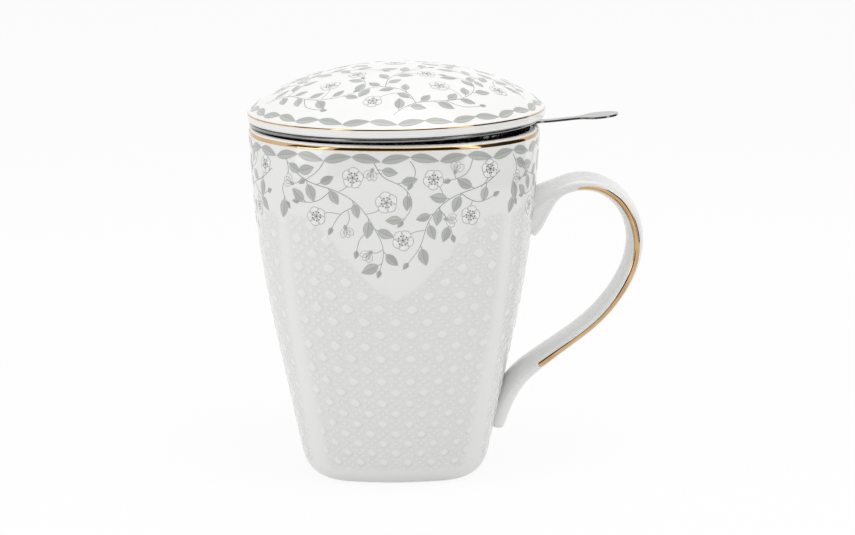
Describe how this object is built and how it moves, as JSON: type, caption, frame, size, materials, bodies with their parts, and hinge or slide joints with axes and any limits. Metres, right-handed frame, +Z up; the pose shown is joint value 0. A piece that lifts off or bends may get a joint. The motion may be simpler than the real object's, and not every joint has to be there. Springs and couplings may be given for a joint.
{
  "type": "lidded tea mug with infuser",
  "caption": "Tall porcelain tea mug, rounded square at the base and nearly round at the lip, with ear handle, perforated steel infuser with thumb tab, and domed lift-off lid.",
  "frame": {"origin": "centre of the foot, on the surface that the mug stands on", "axes": "+Z up along the mug's axis, +X towards the handle and the infuser's thumb tab, +Y across the handle"},
  "size_m": [0.1179, 0.088, 0.122],
  "materials": {
    "porcelain": "clear-glazed white porcelain, smooth and glossy, with fired grey-green print and thin gold lines",
    "steel": "polished stainless steel sheet"
  },
  "bodies": {
    "mug": {"mug_body": "porcelain", "mug_handle": "porcelain"},
    "infuser": {"infuser_collar": "steel", "infuser_sleeve": "steel", "infuser_floor": "steel", "infuser_bottom_ring": "steel", "infuser_tab": "steel", "tab_spot_welds": "steel"},
    "lid": {"lid": "porcelain"}
  },
  "joints": [
    {"name": "infuser_lift", "type": "slide", "parent": "mug", "child": "infuser", "axis": [0, 0, 1], "range_m": [0, 0.075]},
    {"name": "lid_lift", "type": "slide", "parent": "infuser", "child": "lid", "axis": [-0.0163, 0, 0.9999], "range_m": [0, 0.05]}
  ]
}
